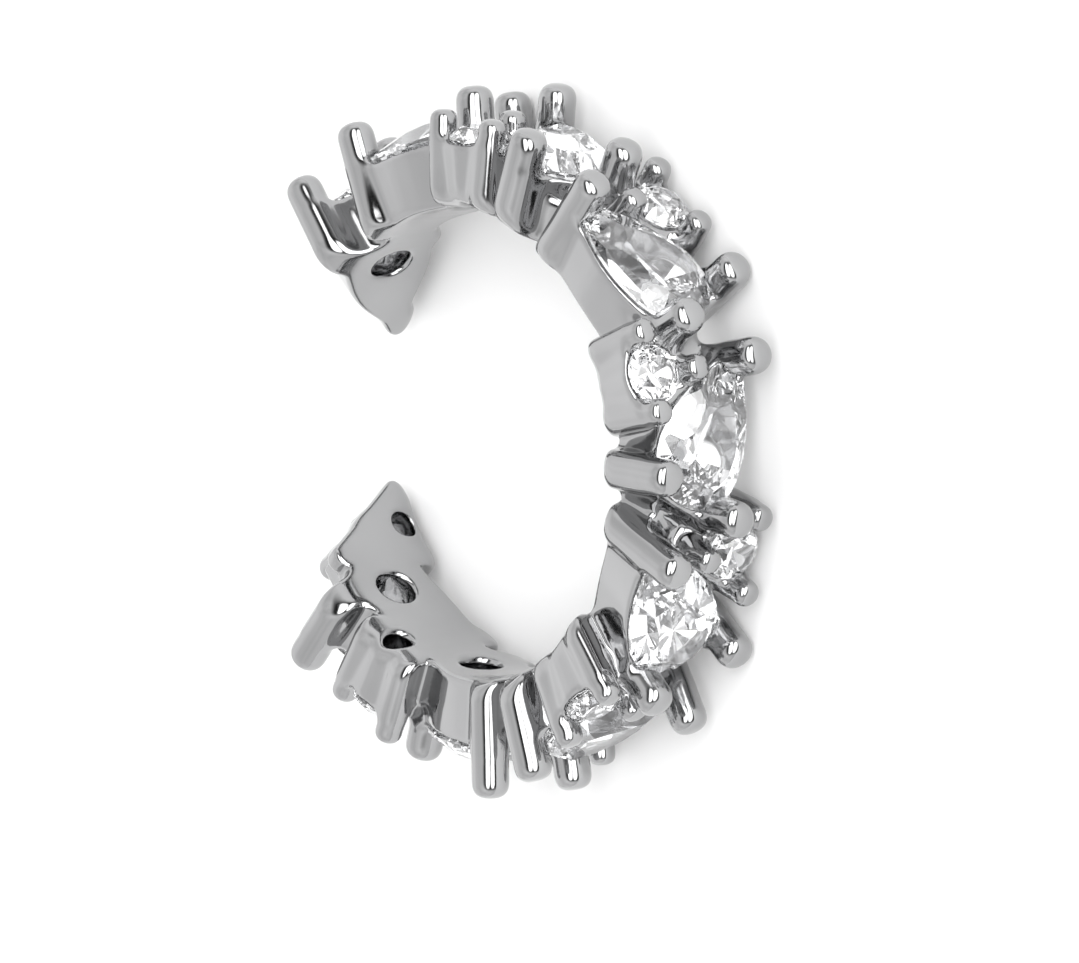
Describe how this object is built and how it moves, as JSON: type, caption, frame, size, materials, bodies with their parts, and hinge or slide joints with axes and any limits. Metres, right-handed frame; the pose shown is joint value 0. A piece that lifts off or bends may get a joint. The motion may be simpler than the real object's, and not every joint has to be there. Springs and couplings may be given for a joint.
{
  "type": "ear cuff",
  "caption": "Open ear cuff: a cast metal body that squeezes onto the rim of the ear, carrying tilted pear stones and small round stones in three-prong settings.",
  "frame": {"origin": "under the middle of the object, on the surface that it lies on", "axes": "+Z along the ring's axis, upwards as it lies on its side; the front pear stone at -Y and the open mouth at +Y"},
  "size_m": [0.0154, 0.0154, 0.0037],
  "materials": {
    "silver": "rhodium-plated sterling silver, polished bright",
    "crystal": "clear faceted cubic zirconia"
  },
  "bodies": {
    "root": {"cuff_body": "silver", "pear_stone_1": "crystal", "pear_stone_2": "crystal", "pear_stone_3": "crystal", "pear_stone_4": "crystal", "pear_stone_5": "crystal", "pear_stone_6": "crystal", "pear_stone_7": "crystal", "pear_stone_8": "crystal", "pear_stone_9": "crystal", "round_stone_1": "crystal", "round_stone_2": "crystal", "round_stone_3": "crystal", "round_stone_4": "crystal", "round_stone_5": "crystal", "round_stone_6": "crystal", "round_stone_7": "crystal", "round_stone_8": "crystal"}
  },
  "joints": []
}
